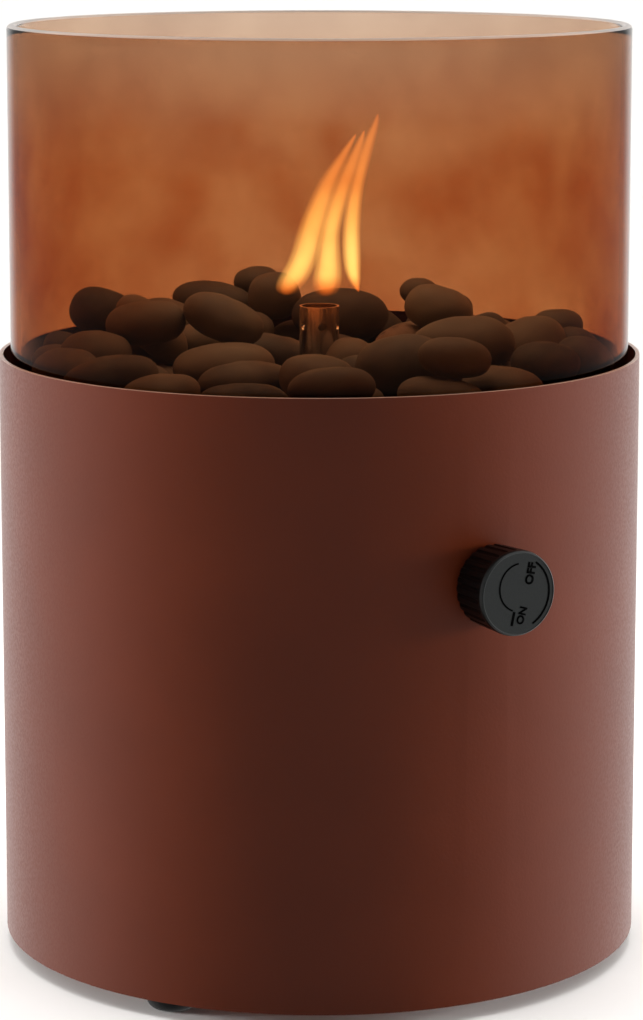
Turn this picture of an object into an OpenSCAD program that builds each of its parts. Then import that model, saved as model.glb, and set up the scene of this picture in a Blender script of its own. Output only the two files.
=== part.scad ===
// Tabletop gas fire pit: a steel sleeve on three rubber feet carries a tray of pebbles,
// a smoked glass chimney and a tube burner. The gas cartridge, the needle valve and its
// side knob hang under the tray. The origin is on the sleeve's axis at table level, and
// the front of the object looks towards -Y.

/* [Sleeve] */
// Outer diameter of the steel sleeve
sleeve_d = 200; // [180:1:240]
// Wall of the sleeve
sleeve_wall = 1.2; // [0.8:0.1:2]
// Height of the sleeve from its lower edge to its rim
sleeve_h = 183; // [150:0.1:230]
// Width of each inward tab at the sleeve's lower edge
tab_w = 24; // [18:1:30]
// Length of each tab from the wall inwards
tab_l = 22; // [20:1:30]

/* [Base] */
// Height of the rubber feet
foot_h = 5; // [4:0.5:12]
// Largest diameter of a foot
foot_d = 16; // [14:0.5:20]
// Diameter of a foot's flat sole
foot_sole_d = 11; // [10:0.5:13]
// Distance of the feet from the sleeve's wall
foot_inset = 10.8; // [10:0.2:13]
// Direction of the first foot, from the front towards +X
foot_az = -30; // [-180:5:180]
// Thickness of the base ring's sheet
base_t = 1.2; // [0.8:0.1:2]
// Height of the base ring's outer and inner flanges
base_flange_h = 7; // [4:0.5:12]
// Number of air holes in the base ring
air_count = 12; // [6:1:15]
// Diameter of an air hole
air_d = 8; // [5:0.5:10]

/* [Glass] */
// Gap between the glass chimney and the sleeve's wall
glass_gap = 2.3; // [2.1:0.1:6]
// Wall of the glass
glass_wall = 3.2; // [2:0.1:5]
// Height of the glass above the sleeve's rim
glass_above = 102; // [80:1:140]
// Depth of the glass inside the sleeve
glass_in = 17.7; // [12:0.1:26]

/* [Tray] */
// Thickness of the pebble tray
tray_t = 1.5; // [1:0.1:3]
// Height of the tray's upturned lip above its floor
tray_lip_h = 8; // [5:0.5:12]
// Wall of the tray's lip
tray_lip_t = 1.2; // [0.8:0.1:2]
// Thickness of the brackets under the tray
bracket_t = 1.3; // [1:0.1:2]
// Height of a bracket on the sleeve's wall
bracket_h = 18; // [12:1:30]
// Reach of a bracket's shelf from the wall
bracket_l = 17; // [14:0.5:24]
// Width of a bracket, as an angle
bracket_angle = 12; // [8:1:20]

/* [Burner] */
// Outer diameter of the burner tube
burner_d = 12.5; // [10:0.1:16]
// Wall of the burner tube
burner_wall = 0.7; // [0.5:0.1:1.2]
// Height of the burner tube's mouth above the sleeve's rim
burner_above = 14; // [8:1:30]
// Number of side ports
port_count = 6; // [3:1:10]
// Diameter of a side port
port_d = 2.5; // [1:0.1:4]
// Depth of the side ports under the burner's mouth
port_drop = 6; // [4:0.5:9]
// Wall of the mixing tube round the gas jet
mixer_wall = 1.6; // [1:0.1:3]
// Diameter of an air inlet in the mixing tube
inlet_d = 6; // [3:0.5:7]

/* [Gas cartridge] */
// Diameter of the cartridge
cartridge_d = 90; // [75:1:110]
// Height of the cartridge
cartridge_h = 88; // [70:1:95]
// Thickness of the spring steel clip that holds the cartridge
clip_t = 1.2; // [0.8:0.1:2]
// Width of the clip
clip_w = 22; // [16:1:30]

/* [Valve and knob] */
// Height of the knob's axis above the table
knob_z = 131.4; // [128:0.1:146]
// Direction of the knob, from the front towards +X
knob_az = 29.6; // [-180:0.1:180]
// Diameter of the knob at its face
knob_d = 25.6; // [18:0.2:34]
// Diameter of the knob at its foot
knob_base_d = 24.2; // [17:0.2:33]
// How far the knob stands out from the sleeve
knob_out = 16; // [12:0.5:24]
// Number of flutes round the knob
knob_flutes = 26; // [12:1:40]
// Diameter of the valve spindle
spindle_d = 6; // [5:0.1:8]
// Depth of the flat on the spindle's end
spindle_flat = 0.9; // [0.5:0.1:1.5]
// Lead of the needle's thread, in mm for a turn
needle_lead = 1; // [0.5:0.1:1.5]
// Turn of the knob from the lit setting to off, in degrees
turn_off = 270; // [90:15:330]

/* [Pebbles] */
// Scale of all the pebbles
pebble_scale = 1; // [0.85:0.05:1.15]
// Gap left between two pebbles where they rest
pebble_gap = 0.1; // [0.1:0.05:1]
// Seed of the hidden bed's scatter
pebble_seed = 7; // [1:1:99]

/* [Fits] */
// Gap between parts that drop into each other
clear = 0.3; // [0.2:0.05:0.6]
// Radial clearance of a running shaft
running = 0.05; // [0.02:0.01:0.09]

/* [Hidden] */

// Surfaces of revolution
fine = 96;
medium = 48;
// Small length that lets a cut run past its face
over = 1;

// Sleeve, glass and tray
sleeve_r = sleeve_d / 2;
bore_r = sleeve_r - sleeve_wall;
rim_z = foot_h + sleeve_h;
glass_r = bore_r - glass_gap;
glass_bore_r = glass_r - glass_wall;
glass_foot_z = rim_z - glass_in;
glass_top_z = rim_z + glass_above;
tray_z = glass_foot_z - clear;
tray_r = bore_r - 2 * clear;
tray_foot_z = tray_z - tray_t;
bracket_r = bore_r - 0.1;
bracket_screw_r = bracket_r - bracket_l * 0.6;
bracket_azimuths = [for (i = [0:2]) foot_az + 30 + 120 * i];

// Base
foot_azimuths = [for (i = [0:2]) foot_az + 120 * i];
foot_r = bore_r - foot_inset;
tab_t = sleeve_wall;
// How far a tab reaches into the wall: its square corners stay 0.2 mm inside the outer face
tab_root = sqrt(pow(sleeve_r - 0.2, 2) - pow(tab_w / 2, 2)) - bore_r;
base_z = foot_h + tab_t;
base_r = bore_r - clear;
base_hole_r = cartridge_d / 2 + 7.5;
m4_shank_r = 1.95;
m4_hole_r = 2.1;
m4_head_r = 3.5;
m4_head_h = 2.2;
m4_nut_r = 4;
m4_nut_h = 3;
foot_head_z = 0.8;

// Gas cartridge and its clip
clip_foot_z = base_z - 0.6;
cartridge_z = clip_foot_z + clip_t + clear;
cartridge_r = cartridge_d / 2;
cartridge_top_z = cartridge_z + cartridge_h;
shoulder_h = 9;
collar_r = 14;
collar_h = 3;

// Valve: the head sits on the cartridge's collar, the body on the head
head_r = 27;
head_h = 7;
head_z = cartridge_top_z + clear;
clip_z = head_z + head_h;
body_z = clip_z + clip_t;
body_r = 11;
body_flange_r = 20;
body_flange_h = 4;
body_top_z = knob_z + 9;
body_neck_r = 7;
body_neck_h = 6;
head_screw_r = 16;
m3_shank_r = 1.45;
m3_hole_r = 1.6;
m3_head_r = 2.8;
m3_head_h = 2;
pin_r = 1.5;
pin_bore_r = 0.5;
pin_l = 6;

// Spindle line, as distances from the axis
spindle_r = spindle_d / 2;
spindle_bore_r = spindle_r + running;
seat_at = 2;
seat_r = 0.9;
boss_end = 26;
boss_r = spindle_r + 5;
needle_tip_l = 3;
needle_point_r = 0.3;
needle_root_r = spindle_r - 0.6;
needle_slope = (needle_root_r - needle_point_r) / needle_tip_l;
needle_shut_at = seat_at - (seat_r - needle_point_r) / needle_slope + 0.08;
needle_tip_at = needle_shut_at + needle_lead * turn_off / 360;
needle_end = 12;
screw_r = 1.5;
collar_flange_r = spindle_r + 2.5;
collar_flange_l = 1.8;
gland_start = 20;
gland_end = 32;
gland_r = boss_r + 3.5;
seal_at = 19;
seal_r = 0.75;
knob_start = sleeve_r + 1;
knob_end = sleeve_r + knob_out;
spindle_end = knob_end - 3.5;
flat_start = knob_start + 1.5;
grommet_hole_r = spindle_r + 3.5;

// Burner
burner_r = burner_d / 2;
burner_top_z = rim_z + burner_above;
mixer_r = body_neck_r + running + mixer_wall;
mixer_z = body_top_z;
mixer_shoulder_z = tray_foot_z - 4;
mixer_thread_r = burner_r + running + mixer_wall;
mixer_top_z = tray_z + 5.6;
jet_r = 2.6;
jet_top_z = body_top_z + body_neck_h + 3;
nut_r = mixer_thread_r + 4.6;
nut_h = 5;
burner_foot_z = mixer_shoulder_z + 1;

// Pebbles
pebble_room_r = glass_bore_r - 0.5;
spread = pebble_room_r / 92.8;
nut_room_r = nut_r + 0.6;
nut_room_z = tray_z + nut_h + 0.7;
tube_room_r = burner_r + 0.6;
facets_seen = [12, 6];
facets_bed = [10, 5];

// Turns a part drawn along +X so that it points from the axis towards an azimuth
module towards(azimuth) {
    rotate([0, 0, azimuth - 90]) children();
}

// A round bar or hole along +X, from one distance to another
module bar(r, from, to, fn = medium) {
    translate([from, 0, 0]) rotate([0, 90, 0]) cylinder(r = r, h = to - from, $fn = fn);
}

// The knob's line: from the axis at the knob's height
module on_spindle_line() {
    translate([0, 0, knob_z]) towards(knob_az) children();
}

// Sheet steel tube with a hole for the spindle and three tabs folded in at its foot
module sleeve() {
    color("#7a3f2e") difference() {
        union() {
            rotate_extrude($fn = fine)
                translate([bore_r, foot_h]) square([sleeve_wall, sleeve_h]);
            for (a = foot_azimuths) towards(a)
                translate([bore_r - tab_l, -tab_w / 2, foot_h])
                    cube([tab_l + tab_root, tab_w, tab_t]);
        }
        for (a = foot_azimuths) towards(a) translate([foot_r, 0, foot_h - over])
            cylinder(r = m4_hole_r, h = tab_t + 2 * over, $fn = medium);
        on_spindle_line() bar(grommet_hole_r, sleeve_r - 6, sleeve_r + 6);
    }
}

// Pressed ring that closes the foot of the sleeve, open in the middle for the cartridge
module base_ring() {
    color("#5f3226") difference() {
        translate([0, 0, base_z]) rotate_extrude($fn = fine) union() {
            translate([base_hole_r, 0]) square([base_r - base_hole_r, base_t]);
            translate([base_r - base_t, 0]) square([base_t, base_flange_h]);
            translate([base_hole_r, 0]) square([base_t, base_flange_h]);
        }
        for (a = foot_azimuths) towards(a) translate([foot_r, 0, base_z - over])
            cylinder(r = m4_hole_r, h = base_t + 2 * over, $fn = medium);
        for (i = [0:air_count - 1]) rotate([0, 0, (i + 0.5) * 360 / air_count])
            translate([(base_hole_r + foot_r) / 2, 0, base_z - over])
                cylinder(d = air_d, h = base_t + 2 * over, $fn = medium);
    }
}

// Domed rubber bumpers with a counterbore for the screw
module feet() {
    dome = [for (i = [0:8]) let (a = i * 90 / 8)
        [foot_sole_d / 2 + (foot_d - foot_sole_d) / 2 * sin(a), (foot_h - 1) * (1 - cos(a))]];
    color("#1c1c1c") for (a = foot_azimuths) towards(a) translate([foot_r, 0, 0]) difference() {
        rotate_extrude($fn = medium)
            polygon(concat([[0, 0]], dome, [[foot_d / 2, foot_h], [0, foot_h]]));
        translate([0, 0, -over]) cylinder(r = m4_hole_r, h = foot_h + 2 * over, $fn = medium);
        translate([0, 0, -over]) cylinder(
            r = m4_head_r + running, h = over + foot_head_z + m4_head_h, $fn = medium);
    }
}

// Pan head screws that come up through the feet, the tabs and the base ring
module foot_screws() {
    color("silver") for (a = foot_azimuths) towards(a) translate([foot_r, 0, 0]) union() {
        translate([0, 0, foot_head_z]) cylinder(r = m4_head_r, h = m4_head_h, $fn = medium);
        translate([0, 0, foot_head_z]) cylinder(
            r = m4_shank_r, h = base_z + base_t + m4_nut_h + 1 - foot_head_z, $fn = medium);
    }
}

module foot_nuts() {
    color("silver") for (a = foot_azimuths) towards(a)
        translate([foot_r, 0, base_z + base_t]) difference() {
            cylinder(r = m4_nut_r, h = m4_nut_h, $fn = 6);
            translate([0, 0, -over])
                cylinder(r = m4_shank_r + running, h = m4_nut_h + 2 * over, $fn = medium);
        }
}

// Angle brackets, spot welded inside the sleeve, that carry the tray
module tray_brackets() {
    shelf_z = tray_foot_z - bracket_t;
    color("#7a3f2e") for (a = bracket_azimuths) towards(a) difference() {
        rotate([0, 0, -bracket_angle / 2]) rotate_extrude(angle = bracket_angle, $fn = fine)
            polygon([
                [bracket_r, tray_foot_z - bracket_h], [bracket_r, tray_foot_z],
                [bracket_r - bracket_l, tray_foot_z], [bracket_r - bracket_l, shelf_z],
                [bracket_r - bracket_t, shelf_z], [bracket_r - bracket_t, tray_foot_z - bracket_h]
            ]);
        translate([bracket_screw_r, 0, shelf_z - over])
            cylinder(r = m4_hole_r, h = bracket_t + 2 * over, $fn = medium);
    }
}

// Spun steel tray: a flat floor for the pebbles and the glass, with a lip round the glass
module pebble_tray() {
    color("#3a3634") difference() {
        rotate_extrude($fn = fine) union() {
            translate([0, tray_foot_z]) square([tray_r, tray_t]);
            translate([tray_r - tray_lip_t, tray_foot_z]) square([tray_lip_t, tray_t + tray_lip_h]);
        }
        translate([0, 0, tray_foot_z - over]) cylinder(
            r = mixer_thread_r + 0.1, h = tray_t + 2 * over, $fn = medium);
        for (a = bracket_azimuths) towards(a) translate([bracket_screw_r, 0, tray_foot_z - over])
            cylinder(r = m4_shank_r + running, h = tray_t + 2 * over, $fn = medium);
    }
}

// Screws that hold the tray down, put in from below
module tray_screws() {
    head_top_z = tray_foot_z - bracket_t;
    color("silver") for (a = bracket_azimuths) towards(a) translate([bracket_screw_r, 0, 0]) union() {
        translate([0, 0, head_top_z - m4_head_h])
            cylinder(r = m4_head_r, h = m4_head_h, $fn = medium);
        translate([0, 0, head_top_z - m4_head_h]) cylinder(
            r = m4_shank_r, h = m4_head_h + bracket_t + tray_t, $fn = medium);
    }
}

// Straight glass tube with fire polished edges
module glass_chimney() {
    edge = glass_wall / 2;
    color("#d98b4a", 0.45) rotate_extrude($fn = fine) union() {
        translate([glass_bore_r, glass_foot_z + edge])
            square([glass_wall, glass_top_z - glass_foot_z - 2 * edge]);
        translate([glass_bore_r + edge, glass_foot_z + edge]) intersection() {
            circle(r = edge, $fn = medium);
            translate([-edge, -edge + 0.3]) square(2 * edge);
        }
        translate([glass_bore_r + edge, glass_top_z - edge]) circle(r = edge, $fn = medium);
    }
}

// Thin polished tube, open at the top, with a ring of side ports
module burner_tube() {
    port_z = burner_top_z - port_drop;
    color("#d8d8d6") difference() {
        translate([0, 0, burner_foot_z])
            cylinder(r = burner_r, h = burner_top_z - burner_foot_z, $fn = fine);
        translate([0, 0, burner_foot_z - over]) cylinder(
            r = burner_r - burner_wall, h = burner_top_z - burner_foot_z + 2 * over, $fn = fine);
        for (i = [0:port_count - 1]) translate([0, 0, port_z]) towards(7 + i * 360 / port_count)
            bar(port_d / 2, burner_r / 2, burner_r + over);
    }
}

// Stepped brass tube: screwed on the valve's neck, clamped in the tray, open to the air
module mixing_tube() {
    body_h = mixer_shoulder_z - mixer_z;
    inlet_z = (jet_top_z + mixer_shoulder_z) / 2;
    color("#c8a04a") difference() {
        union() {
            translate([0, 0, mixer_z]) cylinder(r = mixer_r, h = body_h, $fn = fine);
            translate([0, 0, mixer_shoulder_z])
                cylinder(r = nut_r - 1, h = tray_foot_z - mixer_shoulder_z, $fn = fine);
            translate([0, 0, mixer_shoulder_z])
                cylinder(r = mixer_thread_r, h = mixer_top_z - mixer_shoulder_z, $fn = fine);
        }
        translate([0, 0, mixer_z - over])
            cylinder(r = body_neck_r + running, h = body_h + over, $fn = fine);
        translate([0, 0, mixer_z]) cylinder(
            r = burner_r - burner_wall, h = mixer_top_z - mixer_z + over, $fn = fine);
        translate([0, 0, burner_foot_z]) cylinder(
            r = burner_r + running, h = mixer_top_z - burner_foot_z + over, $fn = fine);
        for (i = [0:3]) translate([0, 0, inlet_z]) towards(knob_az + 45 + 90 * i)
            bar(inlet_d / 2, 2, mixer_r + over);
    }
}

// Hexagon nut that clamps the tray on the mixing tube's shoulder
module burner_nut() {
    color("#b9b4aa") translate([0, 0, tray_z]) difference() {
        cylinder(r = nut_r, h = nut_h, $fn = 6);
        translate([0, 0, -over])
            cylinder(r = mixer_thread_r + running, h = nut_h + 2 * over, $fn = medium);
    }
}

// Brass jet in the valve's neck, with a hexagon and a fine bore
module gas_jet() {
    neck_z = body_top_z + body_neck_h;
    color("#c8a04a") difference() {
        union() {
            translate([0, 0, neck_z - 4]) cylinder(r = jet_r, h = 4, $fn = medium);
            translate([0, 0, neck_z]) cylinder(r = 4.6, h = 1.8, $fn = 6);
            translate([0, 0, neck_z + 1.8])
                cylinder(r1 = jet_r, r2 = 1, h = jet_top_z - neck_z - 1.8, $fn = medium);
        }
        translate([0, 0, neck_z - 4 - over])
            cylinder(r = 0.3, h = jet_top_z - neck_z + 4 + 2 * over, $fn = medium);
        translate([0, 0, neck_z - 4 - over]) cylinder(r = 1.4, h = 4 + over, $fn = medium);
    }
}

// Turned brass valve body: inlet from below, needle seat, outlet to the neck, side boss
module valve_body() {
    neck_top_z = body_top_z + body_neck_h;
    color("#c8a04a") difference() {
        union() {
            translate([0, 0, body_z]) cylinder(r = body_flange_r, h = body_flange_h, $fn = fine);
            translate([0, 0, body_z]) cylinder(r = body_r, h = body_top_z - body_z, $fn = fine);
            translate([0, 0, body_z]) cylinder(r = body_neck_r, h = neck_top_z - body_z, $fn = fine);
            on_spindle_line() bar(boss_r, 0, boss_end);
        }
        translate([0, 0, body_z - over])
            cylinder(r = pin_r + running, h = 4 + over, $fn = medium);
        translate([0, 0, body_z]) cylinder(r = seat_r, h = knob_z - body_z, $fn = medium);
        on_spindle_line() {
            bar(seat_r, 0, seat_at + over);
            bar(spindle_bore_r, seat_at, boss_end + over);
            bar(spindle_r + 2 * seal_r + running, seal_at - seal_r - running,
                seal_at + seal_r + running);
        }
        on_spindle_line() translate([seat_at + 1.1, 0, 0])
            cylinder(r = 1, h = body_top_z - knob_z, $fn = medium);
        translate([0, 0, body_top_z - 3.5]) cylinder(r = 4.3, h = 4.5, $fn = medium);
        translate([0, 0, body_top_z])
            cylinder(r = jet_r + running, h = body_neck_h + over, $fn = medium);
        for (i = [0:2]) towards(knob_az + 60 + 120 * i)
            translate([head_screw_r, 0, body_z - over])
                cylinder(r = m3_hole_r, h = body_flange_h + 2 * over, $fn = medium);
    }
}

// Die cast cap that sits on the cartridge's collar and holds the piercing pin
module valve_head() {
    color("#8d8f91") difference() {
        translate([0, 0, head_z]) rotate_extrude($fn = fine) polygon([
            [0, 0], [head_r - 3, 0], [head_r, 2], [head_r, head_h - 1],
            [head_r - 1, head_h], [0, head_h]
        ]);
        translate([0, 0, head_z - over])
            cylinder(r = collar_r - 2, h = over + 2.5, $fn = fine);
        translate([0, 0, head_z - over])
            cylinder(r = pin_r + running, h = head_h + 2 * over, $fn = medium);
        for (i = [0:2]) towards(knob_az + 60 + 120 * i)
            translate([head_screw_r, 0, head_z + 3])
                cylinder(r = m3_shank_r + running, h = head_h, $fn = medium);
    }
}

// Three screws that clamp the clip between the valve body and its head
module head_screws() {
    top_z = body_z + body_flange_h;
    color("silver") for (i = [0:2]) towards(knob_az + 60 + 120 * i)
        translate([head_screw_r, 0, 0]) union() {
            translate([0, 0, top_z]) cylinder(r = m3_head_r, h = m3_head_h, $fn = medium);
            translate([0, 0, head_z + 3.5])
                cylinder(r = m3_shank_r, h = top_z - head_z - 3.5 + 1, $fn = medium);
        }
}

// Hollow steel pin that pierces the cartridge and leads the gas up
module piercing_pin() {
    top_z = body_z + 3.8;
    tip_z = head_z - pin_l;
    color("#b0b0b0") difference() {
        union() {
            translate([0, 0, tip_z + 3]) cylinder(r = pin_r, h = top_z - tip_z - 3, $fn = medium);
            translate([0, 0, tip_z]) cylinder(r1 = 0.6, r2 = pin_r, h = 3, $fn = medium);
        }
        translate([0, 0, tip_z - over])
            cylinder(r = pin_bore_r, h = top_z - tip_z + 2 * over, $fn = medium);
    }
}

// Flat rubber washer between the head and the cartridge
module head_seal() {
    color("#222222") translate([0, 0, head_z]) difference() {
        cylinder(r = collar_r - 2 - running, h = 2.4, $fn = fine);
        translate([0, 0, -over]) cylinder(r = pin_r + running, h = 2.4 + 2 * over, $fn = medium);
    }
}

// Outline of the clip, seen along its width: a bridge, two legs and two hooks
module clip_outline(reach, top, hook) {
    bend = 4;
    difference() {
        union() {
            translate([-reach, clip_foot_z]) square([2 * reach, top - clip_foot_z - bend]);
            translate([-reach + bend, clip_foot_z]) square([2 * (reach - bend), top - clip_foot_z]);
            for (s = [-1, 1]) translate([s * (reach - bend), top - bend])
                circle(r = bend, $fn = medium);
        }
        union() {
            translate([-reach + clip_t, clip_foot_z + clip_t])
                square([2 * (reach - clip_t), top - clip_foot_z - clip_t - bend]);
            translate([-reach + bend, clip_foot_z + clip_t])
                square([2 * (reach - bend), top - clip_foot_z - 2 * clip_t]);
            for (s = [-1, 1]) translate([s * (reach - bend), top - bend])
                circle(r = bend - clip_t, $fn = medium);
        }
        translate([-reach + hook, clip_foot_z - over]) square([2 * (reach - hook), clip_t + 2 * over]);
    }
}

// Spring steel strap over the valve head and down both sides of the cartridge
module cartridge_clip() {
    reach = cartridge_r + clear + clip_t;
    color("#9a9ea3") difference() {
        towards(knob_az) rotate([90, 0, 90]) translate([0, 0, -clip_w / 2])
            linear_extrude(clip_w) clip_outline(reach, body_z, 10);
        translate([0, 0, clip_z - over]) cylinder(r = pin_r + 0.1, h = clip_t + 2 * over, $fn = medium);
        for (i = [0:2]) towards(knob_az + 60 + 120 * i)
            translate([head_screw_r, 0, clip_z - over])
                cylinder(r = m3_hole_r, h = clip_t + 2 * over, $fn = medium);
    }
}

// Steel can: rolled foot with a domed hollow, straight body, domed shoulder and collar
module gas_cartridge() {
    r = cartridge_r;
    h = cartridge_h;
    dome_h = shoulder_h - collar_h;
    shoulder = [for (i = [0:10]) let (a = i * 9)
        [collar_r + 6 + (r - 2 - collar_r - 6) * cos(a), h - shoulder_h + dome_h * sin(a)]];
    hollow = [for (i = [0:8]) let (a = i * 90 / 8) [(r - 5) * sin(90 - a), 7 * sin(a)]];
    color("#3f6fb0") difference() {
        translate([0, 0, cartridge_z]) rotate_extrude($fn = fine) polygon(concat(
            [[r - 3.5, 0], [r - 1, 0], [r, 1], [r, 3], [r - 0.8, 4], [r - 0.8, h - shoulder_h - 4],
                [r, h - shoulder_h - 3], [r, h - shoulder_h - 1], [r - 1, h - shoulder_h]],
            shoulder,
            [[collar_r, h - collar_h], [collar_r, h - 0.6], [collar_r - 0.6, h], [0, h]],
            [for (i = [len(hollow) - 1:-1:0]) hollow[i]]
        ));
        translate([0, 0, cartridge_top_z - pin_l - 1])
            cylinder(r = pin_r + 0.1, h = pin_l + 1 + over, $fn = medium);
    }
}

// Hexagon cap on the valve's boss that keeps the spindle's collar in
module gland_nut() {
    cap = boss_end + collar_flange_l + 2 * clear;
    color("#c8a04a") on_spindle_line() difference() {
        bar(gland_r, gland_start, gland_end, 6);
        bar(boss_r + running, gland_start - over, cap);
        bar(spindle_bore_r, gland_start, gland_end + over);
    }
}

// Rubber ring round the spindle
module spindle_seal() {
    color("#1c1c1c") on_spindle_line() translate([seal_at, 0, 0]) rotate([0, 90, 0])
        rotate_extrude($fn = medium) translate([spindle_bore_r + seal_r, 0])
            circle(r = seal_r, $fn = medium);
}

// Needle that the spindle's screw moves in and out, with a cone for the seat
module valve_needle() {
    color("#b0b0b0") on_spindle_line() difference() {
        union() {
            translate([needle_tip_at, 0, 0]) rotate([0, 90, 0])
                cylinder(r1 = needle_point_r, r2 = needle_root_r, h = needle_tip_l, $fn = medium);
            bar(spindle_r, needle_tip_at + needle_tip_l, needle_end);
        }
        bar(screw_r + running, needle_tip_at + needle_tip_l + 1.2, needle_end + over);
    }
}

// Long steel spindle: screw, collar, shaft and the flat that drives the knob
module spindle() {
    nose = needle_tip_at + needle_tip_l + 2.4;
    shoulder = needle_end + 0.5;
    color("#b9b9b9") on_spindle_line() difference() {
        union() {
            bar(screw_r, nose, shoulder + over);
            bar(spindle_r, shoulder, spindle_end);
            bar(collar_flange_r, boss_end + clear, boss_end + clear + collar_flange_l);
        }
        translate([flat_start, -spindle_r, spindle_r - spindle_flat])
            cube([spindle_end - flat_start + over, 2 * spindle_r, spindle_flat + over]);
    }
}

// Rubber grommet in the sleeve's hole, behind the knob
module wall_grommet() {
    groove_r = grommet_hole_r - clear;
    flange_r = grommet_hole_r + 1.5;
    inner = sqrt(bore_r * bore_r - flange_r * flange_r) - 0.2;
    color("#1c1c1c") on_spindle_line() difference() {
        union() {
            bar(groove_r, inner - over, sleeve_r + 0.3);
            bar(flange_r, inner - 2, inner);
        }
        bar(spindle_r + 0.1, inner - 4, sleeve_r + over);
    }
}

// Moulded knob: a slightly tapered drum with rounded flutes and a raised face ring
module knob() {
    l = knob_end - knob_start;
    r_foot = knob_base_d / 2;
    r_face = knob_d / 2;
    flute_r = 0.85;
    flute_depth = 0.7;
    face_ring = 0.8;
    face_step = 0.2;
    color("#232325") on_spindle_line() difference() {
        translate([knob_start, 0, 0]) rotate([0, 90, 0]) rotate_extrude($fn = fine) polygon([
            [0, 0], [r_foot - 0.6, 0], [r_foot, 0.6], [r_face - 0.2, l - 1.2],
            [r_face - 0.4, l - 0.4], [r_face - face_ring, l],
            [r_face - face_ring - 0.3, l - face_step], [0, l - face_step]
        ]);
        for (i = [0:knob_flutes - 1]) rotate([i * 360 / knob_flutes, 0, 0])
            translate([knob_start - over, 0, r_foot + flute_r - flute_depth])
                rotate([0, 90 - atan2(r_face - r_foot, l), 0])
                    union() {
                        cylinder(r = flute_r, h = l - 1.6, $fn = 16);
                        translate([0, 0, l - 1.6]) sphere(r = flute_r, $fn = 16);
                    }
        difference() {
            bar(spindle_r + running, knob_start - over, spindle_end + clear);
            translate([flat_start, -spindle_r, spindle_r - spindle_flat + running + 0.35])
                cube([l, 2 * spindle_r, spindle_r]);
        }
    }
}

// Leaf spring in the knob's bore that grips the spindle's flat
module knob_spring() {
    leaf_w = 3;
    color("#b9b9b9") on_spindle_line()
        translate([flat_start, -leaf_w / 2, spindle_r - spindle_flat + running])
            cube([spindle_end - flat_start, leaf_w, 0.3]);
}

// Pebbles. Each is [x, y, length, width, height, yaw, lean, group]: yaw turns its length
// about Z, and lean lifts its right-hand end. They are dropped one by one, in this order,
// each on the pebbles below it, and never closer than pebble_gap.
front_group = 1;
middle_group = 2;
back_group = 3;
grooved_group = 4;

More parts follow.
